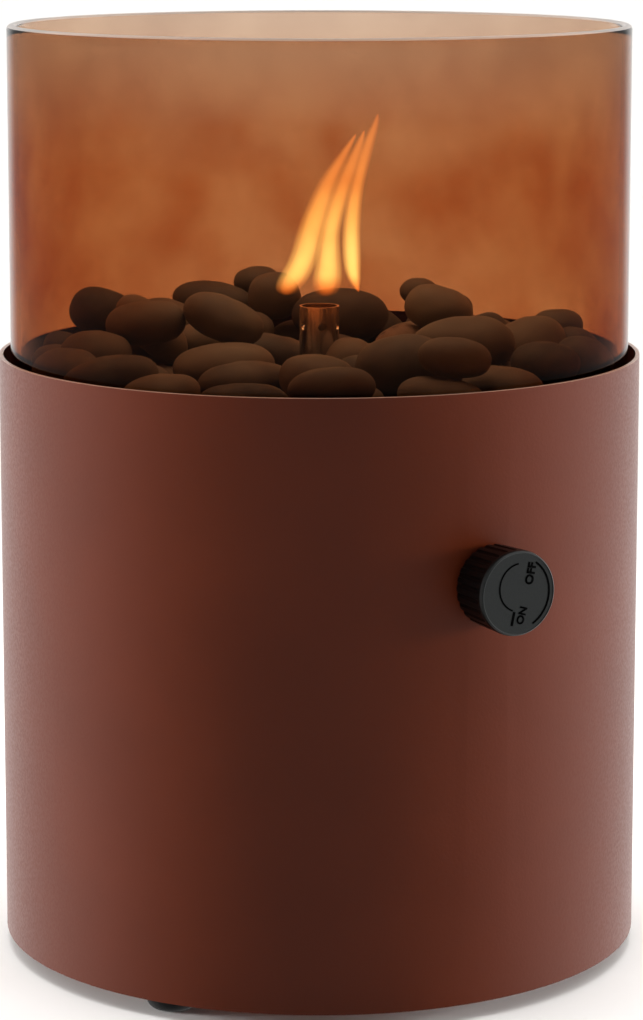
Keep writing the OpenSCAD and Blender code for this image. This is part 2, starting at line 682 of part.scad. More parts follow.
laid_pebbles = [
    // Under the others
    [10, -70, 24, 18, 11, 20, 0, front_group],
    [-56, -34, 24, 19, 12, 40, 0, front_group],
    [68, -24, 24, 18, 12, 20, 0, front_group],
    [-86, -4, 14, 18, 11, 90, 0, middle_group],
    [88, -8, 14, 18, 12, 90, 0, middle_group],
    [22, 6, 22, 17, 11, 30, 0, middle_group],
    [64, 22, 22, 18, 11, -20, 0, middle_group],
    [0, 36, 24, 18, 12, 0, 0, back_group],
    [-64, 42, 22, 18, 12, -30, 0, back_group],
    [-6, 82, 22, 17, 11, 0, 0, back_group],
    // The front of the pile
    [-58, -62, 24, 19, 12, 30, 6, front_group],
    [-34, -80, 27, 18, 11, 10, 0, front_group],
    [-2, -82, 26, 19, 12, -10, 5, front_group],
    [30, -78, 27, 19, 12, -20, -6, front_group],
    [56, -64, 27, 20, 13, -40, 0, front_group],
    [76, -44, 23, 19, 13, -60, 0, front_group],
    [-76, -40, 20, 24, 14, 20, 0, front_group],
    [-30, -62, 22, 16, 9, -10, 0, front_group],
    [-50, -50, 29, 20, 14, 10, 8, front_group],
    [-9, -58, 24, 21, 15, 0, -5, front_group],
    [13, -50, 29, 23, 19, 15, 5, front_group],
    [31, -60, 22, 17, 12, 0, -5, front_group],
    [-28, -42, 29, 20, 12, 0, 4, front_group],
    [-3, -36, 13, 12, 9, 0, 0, front_group],
    [52, -38, 32, 23, 18, 0, 5, front_group],
    [27, -32, 20, 16, 11, 30, -15, front_group],
    [-78, -18, 18, 24, 16, 80, 0, front_group],
    [84, -26, 17, 19, 15, 60, -20, front_group],
    // The middle
    [-24, -22, 32, 22, 15, 10, 3, middle_group],
    [9, -17, 19, 17, 15, 20, -30, middle_group],
    [-63, -8, 26, 19, 14, 0, 5, middle_group],
    [33, -12, 22, 17, 10, 20, -10, middle_group],
    [73, -6, 28, 23, 19, 10, 22, middle_group],
    [-42, -2, 27, 20, 14, -10, -22, middle_group],
    [55, -4, 18, 15, 12, 40, -30, middle_group],
    [-18, 6, 27, 18, 13, 0, -12, middle_group],
    [40, 10, 20, 16, 10, 0, 5, middle_group],
    [-62, 12, 30, 16, 14, 20, -45, middle_group],
    [60, 12, 18, 17, 12, 0, 25, middle_group],
    [-12, 22, 18, 16, 10, 0, 0, middle_group],
    [82, 14, 17, 17, 14, 0, -25, middle_group],
    [-82, 14, 15, 15, 11, 0, -20, middle_group],
    [18, 22, 19, 17, 14, 20, 16, grooved_group],
    [47, 24, 23, 20, 15, 10, -16, middle_group],
    // The back
    [-30, 28, 20, 17, 11, 20, 5, back_group],
    [-50, 38, 16, 15, 10, 0, 0, back_group],
    [-73, 32, 25, 21, 16, 20, -18, back_group],
    [32, 42, 25, 19, 12, 0, 8, back_group],
    [66, 38, 23, 19, 12, 0, 10, back_group],
    [78, 30, 17, 16, 11, 0, 0, back_group],
    [-58, 54, 22, 18, 13, 0, -18, back_group],
    [-22, 50, 26, 21, 15, 0, 16, back_group],
    [4, 54, 32, 24, 18, 0, 0, back_group],
    [-44, 66, 28, 19, 13, 0, -10, back_group],
    [-30, 76, 16, 15, 10, 0, 5, back_group],
    [14, 74, 20, 18, 13, 0, -25, back_group],
    [28, 72, 25, 19, 14, 0, 28, back_group],
    [44, 76, 13, 12, 9, 0, 0, back_group],
    [56, 66, 18, 17, 11, 0, -8, back_group],
    [-18, 68, 18, 18, 16, 0, 5, back_group]
];

// The hidden bed: rings of flat pebbles on the tray
bed_rings = [[27, 6, 0], [53, 12, 12], [79, 18, 5]];
bed_turns = rands(-25, 25, 64, pebble_seed);
bed_sizes = rands(0, 1, 64, pebble_seed + 1);
bed_pebbles = [for (ring = bed_rings) for (i = [0:ring[1] - 1]) let (
    a = ring[2] + 360 * i / ring[1], k = i + ring[1])
    [ring[0] * cos(a), ring[0] * sin(a), 25 + 4 * bed_sizes[k], 19 + 3 * bed_sizes[k + 20],
        9 + 2 * bed_sizes[k + 10], a + 90 + bed_turns[k] / 2, 0, 0]];

// A pebble's three axes: turned by yaw about Z, then leaned about Y
function axes(p) = let (
    cy = cos(p[5]), sy = sin(p[5]), cl = cos(p[6]), sl = sin(p[6]))
    [[cy * cl, sy, cy * sl], [-sy * cl, cy, -sy * sl], [-sl, 0, cl]];

function half_sizes(p) = [p[2], p[3], p[4]] * pebble_scale / 2;

// The pebble's shape matrix: the sum of its squared half sizes along its axes
function shape(p) = let (e = axes(p), h = half_sizes(p))
    [for (i = [0:2]) [for (j = [0:2])
        h[0] * h[0] * e[0][i] * e[0][j] + h[1] * h[1] * e[1][i] * e[1][j]
        + h[2] * h[2] * e[2][i] * e[2][j]]];

// How far a pebble reaches from its centre along a level direction
function reach(s, a) = let (n = [cos(a), sin(a), 0]) sqrt(n * s * n);

// Height above a lying pebble's centre at which another just clears it, for one split of
// the distance between them; each split is safe, so the least height of a few is taken
function clear_height(s, t, dx, dy, split) = let (
    m = s * (1 - split) + t * split,
    a = m[0][0], b = m[0][1], c = m[0][2], d = m[1][1], e = m[1][2], f = m[2][2],
    det = a * (d * f - e * e) - b * (b * f - c * e) + c * (b * e - c * d),
    k = split * (1 - split) / det,
    m33 = k * (a * d - b * b),
    slope = k * ((b * e - c * d) * dx + (b * c - a * e) * dy),
    level = k * ((d * f - e * e) * dx * dx + 2 * (c * e - b * f) * dx * dy
        + (a * f - c * c) * dy * dy),
    disc = slope * slope - m33 * (level - 1))
    disc < 0 ? -1000 : (sqrt(disc) - slope) / m33;

splits = [0.1:0.05:0.9];
// Two pebbles whose centres are further apart than this never touch
longest = 40;
function rest_height(s, t, dx, dy) = norm([dx, dy]) > longest * pebble_scale ? -1000
    : min([for (k = splits) clear_height(s, t, dx, dy, k)]);

// A place inside the glass and clear of the burner tube
function kept_in(s, x, y) = let (
    r = norm([x, y]), a = atan2(y, x),
    most = min([for (d = [-40:10:40]) (pebble_room_r - reach(s, a + d)) / cos(d)]),
    least = tube_room_r + reach(s, a),
    kept = max(least, min(most, r)))
    [kept * cos(a), kept * sin(a)];

// Height of a pebble's centre at a place, on the tray, the nut or the pebbles there
function settled_z(s, x, y, laid) = let (
    r = norm([x, y]), a = atan2(y, x),
    ground = r - reach(s, a) < nut_room_r ? nut_room_z : tray_z + pebble_gap)
    max(concat([ground + sqrt(s[2][2])],
        [for (q = laid) q[1][2] + pebble_gap + rest_height(q[2], s, x - q[1][0], y - q[1][1])]));

// The lowest of the places tried round the wanted one, where a far one has to gain more
nudges = concat([[0, 0]], [for (d = [4, 8, 12]) for (a = [0:45:315]) [d * cos(a), d * sin(a)]]);
nudge_cost = 0.07;
function lowest(places) = let (
    costs = [for (i = [0:len(places) - 1]) places[i][2] + nudge_cost * norm(nudges[i])],
    least = min(costs))
    [for (i = [0:len(places) - 1]) if (costs[i] == least) places[i]][0];

// Each laid pebble is [its row, its centre, its shape matrix]
function lay(rows, i, laid) = i == len(rows) ? laid : let (
    row = rows[i], s = shape(row),
    places = [for (n = nudges) let (
        xy = kept_in(s, row[0] * spread + n[0], row[1] * spread + n[1]))
        [xy[0], xy[1], settled_z(s, xy[0], xy[1], laid)]])
    lay(rows, i + 1, concat(laid, [[row, lowest(places), s]]));

function pile() = lay(concat(bed_pebbles, laid_pebbles), 0, []);

// A cosine or sine drawn out a little, which fills a pebble's flanks
fullness = 0.9;
shrink = 0.98;
egg_taper = 0.07;
function full(k) = sign(k) * pow(abs(k), fullness);

// Rings of points on a pebble, a little fuller than an ellipsoid and drawn in at one end
function pebble_points(laid, around, bands) = let (
    e = axes(laid[0]), h = half_sizes(laid[0]) * shrink, c = laid[1])
    concat(
        [c - e[2] * h[2]],
        [for (j = [1:bands - 1]) for (i = [0:around - 1]) let (
            v = -90 + 180 * j / bands, u = 360 * (i + j / 2) / around,
            egg = 1 - egg_taper * (1 + cos(u)) / 2 * cos(v))
            c + e[0] * h[0] * full(cos(v)) * full(cos(u))
            + e[1] * h[1] * full(cos(v)) * full(sin(u)) * egg + e[2] * h[2] * full(sin(v))],
        [c + e[2] * h[2]]);

function pebble_faces(first, around, bands) = let (top = first + 1 + around * (bands - 1))
    concat(
        [for (i = [0:around - 1]) [first, first + 1 + i, first + 1 + (i + 1) % around]],
        [for (j = [0:bands - 3]) for (i = [0:around - 1]) let (
            a = first + 1 + j * around + i, b = first + 1 + j * around + (i + 1) % around)
            [a, a + around, b]],
        [for (j = [0:bands - 3]) for (i = [0:around - 1]) let (
            a = first + 1 + j * around + i, b = first + 1 + j * around + (i + 1) % around)
            [b, a + around, b + around]],
        [for (i = [0:around - 1]) let (low = first + 1 + (bands - 2) * around)
            [top, low + (i + 1) % around, low + i]]);

// All the pebbles of one group, as closed shells
module pebbles(group, facets) {
    chosen = [for (p = pile()) if (p[0][7] == group) p];
    around = facets[0];
    bands = facets[1];
    each_points = 2 + around * (bands - 1);
    polyhedron(
        points = [for (p = chosen) each pebble_points(p, around, bands)],
        faces = [for (i = [0:len(chosen) - 1]) each pebble_faces(i * each_points, around, bands)]);
}

module pebble_bed() {
    color("#3a302b") pebbles(0, facets_bed);
}

module front_pebbles() {
    color("#2e2622") pebbles(front_group, facets_seen);
}

module middle_pebbles() {
    color("#352b26") pebbles(middle_group, facets_seen);
}

module back_pebbles() {
    color("#40342c") pebbles(back_group, facets_seen);
}

module grooved_pebble() {
    color("#6a5848") pebbles(grooved_group, facets_seen);
}

sleeve();
base_ring();
feet();
foot_screws();
foot_nuts();
tray_brackets();
pebble_tray();
tray_screws();
glass_chimney();
burner_tube();
mixing_tube();
burner_nut();
gas_jet();
valve_body();
valve_head();
head_screws();
piercing_pin();
head_seal();
cartridge_clip();
gas_cartridge();
gland_nut();
spindle_seal();
valve_needle();
spindle();
wall_grommet();
knob();
knob_spring();
pebble_bed();
front_pebbles();
middle_pebbles();
back_pebbles();
grooved_pebble();
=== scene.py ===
import math
import random

import bmesh
import bpy
from mathutils import Matrix, Vector, noise


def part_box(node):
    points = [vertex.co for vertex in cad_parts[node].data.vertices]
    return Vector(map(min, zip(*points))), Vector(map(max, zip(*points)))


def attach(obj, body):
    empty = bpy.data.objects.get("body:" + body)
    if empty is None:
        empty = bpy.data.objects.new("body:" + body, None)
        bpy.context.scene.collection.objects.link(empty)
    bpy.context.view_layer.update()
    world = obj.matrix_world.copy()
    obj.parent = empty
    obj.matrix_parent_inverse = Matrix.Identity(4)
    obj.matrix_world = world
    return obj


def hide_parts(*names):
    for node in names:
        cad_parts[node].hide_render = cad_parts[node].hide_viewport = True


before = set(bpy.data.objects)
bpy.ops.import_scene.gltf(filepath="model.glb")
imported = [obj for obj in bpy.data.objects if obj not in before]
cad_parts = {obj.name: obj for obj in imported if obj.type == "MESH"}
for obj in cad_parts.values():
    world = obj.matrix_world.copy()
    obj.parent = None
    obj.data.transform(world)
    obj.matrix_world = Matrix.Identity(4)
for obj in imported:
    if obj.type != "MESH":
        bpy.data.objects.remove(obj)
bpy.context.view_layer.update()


# Camera and studio: a long lens a metre in front and a little above the rim, a pale sweep
# under and behind the fire pit, and an even light tent that is dimmer behind the camera.
def linear(hex_code):
    """An sRGB hex colour as the linear RGBA that Blender's sockets take."""
    channels = [int(hex_code[i:i + 2], 16) / 255 for i in (1, 3, 5)]
    return [c / 12.92 if c <= 0.04045 else ((c + 0.055) / 1.055) ** 2.4 for c in channels] + [1]


def add(tree, kind, sockets={}, **settings):
    """Adds a node. A socket is set to a value, or linked to a (node, output) pair."""
    new = tree.nodes.new(kind)
    for key, value in settings.items():
        setattr(new, key, value)
    for key, value in sockets.items():
        if isinstance(value, tuple) and isinstance(value[0], bpy.types.Node):
            tree.links.new(value[0].outputs[value[1]], new.inputs[key])
        else:
            new.inputs[key].default_value = value
    return new


def start_material(name, **sockets):
    """A new material with its own shader; returns the material, its tree and the shader."""
    made = bpy.data.materials.new(name)
    made.use_nodes = True
    tree = made.node_tree
    shader = tree.nodes["Principled BSDF"]
    for key, value in sockets.items():
        shader.inputs[key.replace("_", " ")].default_value = value
    return made, tree, shader


scene = bpy.context.scene
scene.view_settings.view_transform = "Standard"
lens = bpy.data.cameras.new("camera")
lens.lens = 121.41
lens.shift_x = 0.0021
lens.shift_y = -0.1078
camera = bpy.data.objects.new("camera", lens)
camera.location = (0, -1.06866, 0.33857)
camera.rotation_euler = (math.radians(90 - 8.858), 0, 0)
scene.collection.objects.link(camera)
scene.camera = camera

tent = bpy.data.worlds.new("light_tent")
tent.use_nodes = True
tree = tent.node_tree
direction = add(tree, "ShaderNodeTexCoord")
bearing = add(tree, "ShaderNodeSeparateXYZ", {0: (direction, "Generated")})
depth = add(tree, "ShaderNodeMapRange", {
    "Value": (bearing, "Y"), "From Min": -0.8, "From Max": 0.15, "To Min": 0.02, "To Max": 1.4},
    interpolation_type="SMOOTHSTEP")
# What clear glass mirrors is only a narrow screen straight behind, as behind a polarising filter
screen = add(tree, "ShaderNodeMapRange", {
    "Value": (bearing, "Y"), "From Min": 0.86, "From Max": 0.93, "To Min": 0.4, "To Max": 1.0})
ray = add(tree, "ShaderNodeLightPath")
mirrored = add(tree, "ShaderNodeMath", {
    0: (ray, "Is Singular Ray"), 1: (ray, "Is Reflection Ray")}, operation="MULTIPLY")
strength = add(tree, "ShaderNodeMix", {0: (mirrored, 0), 2: (depth, 0), 3: (screen, 0)})
tree.nodes["Background"].inputs["Color"].default_value = linear("#FFFDFB")
tree.links.new(strength.outputs[0], tree.nodes["Background"].inputs["Strength"])
scene.world = tent

# Large soft boxes far to either side and a little behind, and a weaker one overhead. Only the
# one overhead is mirrored: the others are kept out of reflections, as with a polarising filter
for name, beam, power, width in (
        ("left_box", (1.6, -0.25, -0.15), 6.3, 17), ("right_box", (-1.6, -0.25, -0.15), 5.8, 17),
        ("top_box", (0, 0.12, -1), 1.1, 30)):
    box = bpy.data.lights.new(name, "SUN")
    box.energy = power
    box.angle = math.radians(width)
    lamp = bpy.data.objects.new(name, box)
    lamp.rotation_euler = Vector(beam).to_track_quat("-Z", "Y").to_euler()
    lamp.visible_glossy = name == "top_box"
    lamp.visible_transmission = False
    scene.collection.objects.link(lamp)

# Matt paper sweep with the faint cloudiness of paper fibre, white where the fire pit stands,
# and painted a light grey behind it as painted shade, where less light falls
paper, tree, shader = start_material("paper_sweep", Roughness=0.9)
where = add(tree, "ShaderNodeTexCoord")
fibre = add(tree, "ShaderNodeTexNoise", {
    "Vector": (where, "Object"), "Scale": 1000 / 40, "Detail": 4})
shade = add(tree, "ShaderNodeMix", {
    0: (fibre, "Fac"), 6: linear("#F4F2F0"), 7: linear("#FBFAF8")}, data_type="RGBA")
spread = add(tree, "ShaderNodeSeparateXYZ", {0: (where, "Object")})
behind = add(tree, "ShaderNodeMapRange", {
    "Value": (spread, "Y"), "From Min": 0.1, "From Max": 0.9}, interpolation_type="SMOOTHSTEP")
paper_with_painted_falloff = add(tree, "ShaderNodeMix", {
    0: (behind, 0), 6: (shade, 2), 7: linear("#CFCDCB")}, data_type="RGBA")
tree.links.new(paper_with_painted_falloff.outputs[2], shader.inputs["Base Color"])
bm = bmesh.new()
bmesh.ops.create_grid(bm, x_segments=2, y_segments=2, size=30)
mesh = bpy.data.meshes.new("floor")
bm.to_mesh(mesh)
bm.free()
mesh.materials.append(paper)
floor = bpy.data.objects.new("floor", mesh)
floor.visible_glossy = False
scene.collection.objects.link(floor)


# Sleeve, base ring and brackets: rolled and pressed sheet steel under a red-brown powder
# coat. The coat is baked on as a melt, so it has a satin gloss over a fine orange peel.
powder_coat, tree, shader = start_material("powder_coated_steel", IOR=1.34)
where = add(tree, "ShaderNodeTexCoord")
cloud = add(tree, "ShaderNodeTexNoise", {
    "Vector": (where, "Object"), "Scale": 1000 / 35, "Detail": 3})
coat = add(tree, "ShaderNodeMix", {
    0: (cloud, "Fac"), 6: linear("#481A08"), 7: linear("#531F0A")}, data_type="RGBA")
# The cut rim is painted as a paler line: partly the powder drawing back from the cut edge, partly a
# painted highlight on it
cut_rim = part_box("sleeve")[1].z - 0.00005
height = add(tree, "ShaderNodeSeparateXYZ", {0: (where, "Object")})
at_rim = add(tree, "ShaderNodeMath", {0: (height, "Z"), 1: cut_rim}, operation="GREATER_THAN")
coat_with_painted_rim_highlight = add(tree, "ShaderNodeMix", {
    0: (at_rim, 0), 6: (coat, 2), 7: linear("#93705F")}, data_type="RGBA")
# Grit of the powder, 0.4 mm in the real coat, drawn at 0.9 mm so that it shows
grit = add(tree, "ShaderNodeTexNoise", {
    "Vector": (where, "Object"), "Scale": 1000 / 0.9, "Detail": 2})
peel = add(tree, "ShaderNodeBump", {"Height": (grit, "Fac"), "Strength": 0.12, "Distance": 0.0002})
speck = add(tree, "ShaderNodeMapRange", {
    "Value": (grit, "Fac"), "From Min": 0.35, "From Max": 0.65, "To Min": 0.33, "To Max": 0.43})
tree.links.new(coat_with_painted_rim_highlight.outputs[2], shader.inputs["Base Color"])
tree.links.new(speck.outputs[0], shader.inputs["Roughness"])
tree.links.new(peel.outputs[0], shader.inputs["Normal"])


def give(finish, *nodes):
    """Gives a CAD node's faces a finish."""
    for name in nodes:
        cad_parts[name].data.materials.clear()
        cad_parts[name].data.materials.append(finish)


give(powder_coat, "sleeve", "base_ring", "tray_brackets")


# Feet, seals and grommet: moulded from black nitrile rubber. It is matt, and its surface has
# the light cloudy bloom of old rubber.
nitrile, tree, shader = start_material("nitrile_rubber", Roughness=0.75, IOR=1.4)
where = add(tree, "ShaderNodeTexCoord")
bloom = add(tree, "ShaderNodeTexNoise", {
    "Vector": (where, "Object"), "Scale": 1000 / 2.5, "Detail": 5})
rubber = add(tree, "ShaderNodeMix", {
    0: (bloom, "Fac"), 6: linear("#080808"), 7: linear("#141313")}, data_type="RGBA")
skin = add(tree, "ShaderNodeBump", {"Height": (bloom, "Fac"), "Strength": 0.2, "Distance": 0.0003})
tree.links.new(rubber.outputs[2], shader.inputs["Base Color"])
tree.links.new(skin.outputs[0], shader.inputs["Normal"])
give(nitrile, "feet", "wall_grommet", "head_seal", "spindle_seal")


# Screws and nuts: cold headed steel with a clear zinc plate, which leaves a soft, faintly
# mottled grey shine.
zinc, tree, shader = start_material("zinc_plated_steel", Metallic=1.0)
where = add(tree, "ShaderNodeTexCoord")
spangle = add(tree, "ShaderNodeTexNoise", {
    "Vector": (where, "Object"), "Scale": 1000 / 1.2, "Detail": 3})
plate = add(tree, "ShaderNodeMix", {
    0: (spangle, "Fac"), 6: linear("#AEB0B2"), 7: linear("#D2D3D0")}, data_type="RGBA")
matt = add(tree, "ShaderNodeMapRange", {"Value": (spangle, "Fac"), "To Min": 0.26, "To Max": 0.44})
tree.links.new(plate.outputs[2], shader.inputs["Base Color"])
tree.links.new(matt.outputs[0], shader.inputs["Roughness"])
give(zinc, "foot_screws", "foot_nuts", "tray_screws", "head_screws", "burner_nut")


# Gas cartridge: a can drawn from thin steel sheet and lacquered blue. The lacquer is glossy,
# with the slight unevenness of a sprayed coat.
lacquer, tree, shader = start_material(
    "lacquered_can", Roughness=0.3, IOR=1.5, Coat_Weight=0.5, Coat_Roughness=0.12)
where = add(tree, "ShaderNodeTexCoord")
flow = add(tree, "ShaderNodeTexNoise", {
    "Vector": (where, "Object"), "Scale": 1000 / 9, "Detail": 3})
blue = add(tree, "ShaderNodeMix", {
    0: (flow, "Fac"), 6: linear("#2C5C8E"), 7: linear("#376A9C")}, data_type="RGBA")
tree.links.new(blue.outputs[2], shader.inputs["Base Color"])
give(lacquer, "gas_cartridge")


# Clip and knob spring: bent from cold rolled spring steel, left bare. Rolling leaves fine
# lines along the strip.
strip, tree, shader = start_material("rolled_spring_steel", Metallic=1.0, Roughness=0.36)
where = add(tree, "ShaderNodeTexCoord")
along = add(tree, "ShaderNodeMapping", {"Vector": (where, "Object"), "Scale": (30, 30, 1)})
lines = add(tree, "ShaderNodeTexNoise", {
    "Vector": (along, 0), "Scale": 1000 / 14, "Detail": 3})
rolled = add(tree, "ShaderNodeMix", {
    0: (lines, "Fac"), 6: linear("#8E9093"), 7: linear("#B4B6B8")}, data_type="RGBA")
tree.links.new(rolled.outputs[2], shader.inputs["Base Color"])
give(strip, "cartridge_clip", "knob_spring")


# Valve head: die cast in zinc alloy and tumbled with stones after casting, which leaves it
# grey and matt, with a fine even grain.
cast, tree, shader = start_material("tumbled_casting", Metallic=1.0, Roughness=0.5)
where = add(tree, "ShaderNodeTexCoord")
tumble = add(tree, "ShaderNodeTexNoise", {
    "Vector": (where, "Object"), "Scale": 1000 / 0.8, "Detail": 4})
alloy = add(tree, "ShaderNodeMix", {
    0: (tumble, "Fac"), 6: linear("#85878A"), 7: linear("#A4A6A8")}, data_type="RGBA")
dimple = add(tree, "ShaderNodeBump", {
    "Height": (tumble, "Fac"), "Strength": 0.3, "Distance": 0.0002})
tree.links.new(alloy.outputs[2], shader.inputs["Base Color"])
tree.links.new(dimple.outputs[0], shader.inputs["Normal"])
give(cast, "valve_head")


# Valve body, gland nut, jet and mixing tube: turned from brass bar. Heat and handling have
# dulled the brass in soft patches.
brass, tree, shader = start_material("turned_brass", Metallic=1.0)
where = add(tree, "ShaderNodeTexCoord")
tarnish = add(tree, "ShaderNodeTexNoise", {
    "Vector": (where, "Object"), "Scale": 1000 / 6, "Detail": 4})
yellow = add(tree, "ShaderNodeMix", {
    0: (tarnish, "Fac"), 6: linear("#A8843F"), 7: linear("#D3B063")}, data_type="RGBA")
dull = add(tree, "ShaderNodeMapRange", {"Value": (tarnish, "Fac"), "To Min": 0.2, "To Max": 0.42})
tree.links.new(yellow.outputs[2], shader.inputs["Base Color"])
tree.links.new(dull.outputs[0], shader.inputs["Roughness"])
give(brass, "valve_body", "gland_nut", "gas_jet", "mixing_tube")


# Burner tube, spindle, needle and pin: drawn stainless steel, polished, with a straw
# heat tint where the flame meets the burner's mouth.
stainless, tree, shader = start_material("polished_stainless", Metallic=1.0)
where = add(tree, "ShaderNodeTexCoord")
height = add(tree, "ShaderNodeSeparateXYZ", {0: (where, "Object")})
heat = add(tree, "ShaderNodeMapRange", {
    "Value": (height, "Z"), "From Min": 0.188, "From Max": 0.202}, interpolation_type="SMOOTHSTEP")
smear = add(tree, "ShaderNodeTexNoise", {
    "Vector": (where, "Object"), "Scale": 1000 / 6, "Detail": 2})
straw = add(tree, "ShaderNodeMix", {
    0: (heat, 0), 6: linear("#D6D4D1"), 7: linear("#F4D6AE")}, data_type="RGBA")
polish = add(tree, "ShaderNodeMapRange", {
    "Value": (smear, "Fac"), "To Min": 0.17, "To Max": 0.21})
tree.links.new(straw.outputs[2], shader.inputs["Base Color"])
tree.links.new(polish.outputs[0], shader.inputs["Roughness"])
give(stainless, "burner_tube", "spindle", "valve_needle", "piercing_pin")


# Pebble tray: spun from mild steel sheet and darkened by the heat of the flame. The spinning
# tool leaves faint rings.
tray_steel, tree, shader = start_material("heat_darkened_steel", Metallic=0.6, Roughness=0.55)
where = add(tree, "ShaderNodeTexCoord")
rings = add(tree, "ShaderNodeTexWave", {
    "Vector": (where, "Object"), "Scale": 1000 / 14, "Distortion": 1.5, "Detail": 2},
    wave_type="RINGS", rings_direction="Z")
oxide = add(tree, "ShaderNodeMix", {
    0: (rings, "Fac"), 6: linear("#25211E"), 7: linear("#3A332D")}, data_type="RGBA")
tree.links.new(oxide.outputs[2], shader.inputs["Base Color"])
give(tray_steel, "pebble_tray")


# Pebbles: fired ceramic stones, tumbled smooth and matt. Each has its own brown, and a
# fine grain that shows only where the light grazes it.
ceramic, tree, shader = start_material("fired_ceramic", Roughness=0.7, IOR=1.35)
where = add(tree, "ShaderNodeTexCoord")
# Each stone's colour attribute holds its random brown and the painted shade near the walls
own = add(tree, "ShaderNodeAttribute", attribute_name="tone")
tone = add(tree, "ShaderNodeMix", {
    0: (own, "Fac"), 6: linear("#2E2620"), 7: linear("#796755")}, data_type="RGBA")
cloud = add(tree, "ShaderNodeTexNoise", {
    "Vector": (where, "Object"), "Scale": 1000 / 12, "Detail": 4})
patch = add(tree, "ShaderNodeMapRange", {
    "Value": (cloud, "Fac"), "From Min": 0.4, "From Max": 0.8, "To Max": 0.5})
worn = add(tree, "ShaderNodeMix", {
    0: (patch, 0), 6: (tone, 2), 7: linear("#6B5A4A")}, data_type="RGBA")
grain = add(tree, "ShaderNodeTexNoise", {
    "Vector": (where, "Object"), "Scale": 1000 / 1.6, "Detail": 3})
tooth = add(tree, "ShaderNodeBump", {
    "Height": (grain, "Fac"), "Strength": 0.15, "Distance": 0.0003})
tree.links.new(worn.outputs[2], shader.inputs["Base Color"])
tree.links.new(tooth.outputs[0], shader.inputs["Normal"])
sleeve_radius = 0.1
wall_shade_width = 0.045


def tumbled(name, seed, cuts, dents):
    """A copy of a CAD node's stones, merged, rounded and dented, each with its own random colour;
    near the walls it is darkened as painted shade.
    """
    bm = bmesh.new()
    bm.from_mesh(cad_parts[name].data)
    bmesh.ops.remove_doubles(bm, verts=bm.verts, dist=2e-5)
    tone_and_wall_shade_layer = bm.verts.layers.float.new("tone")
    for _ in range(cuts):
        bmesh.ops.subdivide_edges(bm, edges=bm.edges, cuts=1, use_grid_fill=True, smooth=0.6)
    chance = random.Random(seed)
    # Taken in the mesh's own order, because a set's order changes from run to run
    left = set(bm.verts)
    for start in list(bm.verts):
        if start not in left:
            continue
        left.remove(start)
        stone, reached = [start], [start]
        while reached:
            near = reached.pop()
            for edge in near.link_edges:
                other = edge.other_vert(near)
                if other in left:
                    left.remove(other)
                    stone.append(other)
                    reached.append(other)
        centre = sum((v.co for v in stone), Vector()) / len(stone)
        size = max((v.co - centre).length for v in stone)
        for _ in range(2):
            bmesh.ops.smooth_vert(
                bm, verts=stone, factor=0.5, use_axis_x=True, use_axis_y=True, use_axis_z=True)
        grown = size / max((v.co - centre).length for v in stone)
        shift = Vector([chance.uniform(-50, 50) for _ in range(3)])
        # Stones near the left and right walls are painted darker, as painted shade from the walls
        from_wall = sleeve_radius - abs(centre.x)
        own_tone_and_wall_shade = chance.random() * min(1, max(0.1, from_wall / wall_shade_width))
        for v in stone:
            out = v.co - centre
            swell = noise.noise(out.normalized() * 1.4 + shift) * 0.055
            swell += noise.noise(out / 0.004 + shift) * dents
            v.co = centre + out * grown * (1 + swell)
            v[tone_and_wall_shade_layer] = own_tone_and_wall_shade
    bmesh.ops.recalc_face_normals(bm, faces=bm.faces)
    return bm


def finish_piece(bm, name, finish, body, smooth=True):
    """Turns a bmesh into a piece with its material, riding on its body."""
    mesh = bpy.data.meshes.new(name)
    bm.to_mesh(mesh)
    bm.free()
    mesh.materials.append(finish)
    if smooth:
        mesh.shade_smooth()
    piece = bpy.data.objects.new(name, mesh)
    scene.collection.objects.link(piece)
    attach(piece, body)
    return piece


for node, name, seed, cuts in (
        ("pebble_bed", "stone_bed", 3, 1), ("front_pebbles", "front_stones", 11, 2),
        ("middle_pebbles", "middle_stones", 12, 2), ("back_pebbles", "back_stones", 13, 2)):
    piece = finish_piece(
        tumbled(node, seed, cuts, 0.006), name, ceramic, "base")
    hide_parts(node)


# The odd stone: fired from a coarser, lighter clay, whose grit burnt out and left pits and
# short grooves.
coarse, tree, shader = start_material("pitted_ceramic", Roughness=0.8, IOR=1.45)
where = add(tree, "ShaderNodeTexCoord")
stretched = add(tree, "ShaderNodeMapping", {
    "Vector": (where, "Object"), "Rotation": (0, 0, 0.5), "Scale": (0.45, 1, 1.3)})
pits = add(tree, "ShaderNodeTexVoronoi", {"Vector": (stretched, 0), "Scale": 1000 / 3.2})
pit = add(tree, "ShaderNodeMapRange", {
    "Value": (pits, "Distance"), "From Min": 0.12, "From Max": 0.34},
    interpolation_type="SMOOTHSTEP")
clay = add(tree, "ShaderNodeTexNoise", {
    "Vector": (where, "Object"), "Scale": 1000 / 2.5, "Detail": 5})
fired = add(tree, "ShaderNodeMix", {
    0: (clay, "Fac"), 6: linear("#63493A"), 7: linear("#8A6C55")}, data_type="RGBA")
sunk = add(tree, "ShaderNodeMix", {
    0: (pit, 0), 6: linear("#2A1E17"), 7: (fired, 2)}, data_type="RGBA")
hollow = add(tree, "ShaderNodeBump", {"Height": (pit, 0), "Strength": 0.9, "Distance": 0.0008})
tree.links.new(sunk.outputs[2], shader.inputs["Base Color"])
tree.links.new(hollow.outputs[0], shader.inputs["Normal"])
piece = finish_piece(
    tumbled("grooved_pebble", 5, 3, 0.02), "grooved_stone", coarse, "base")
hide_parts("grooved_pebble")


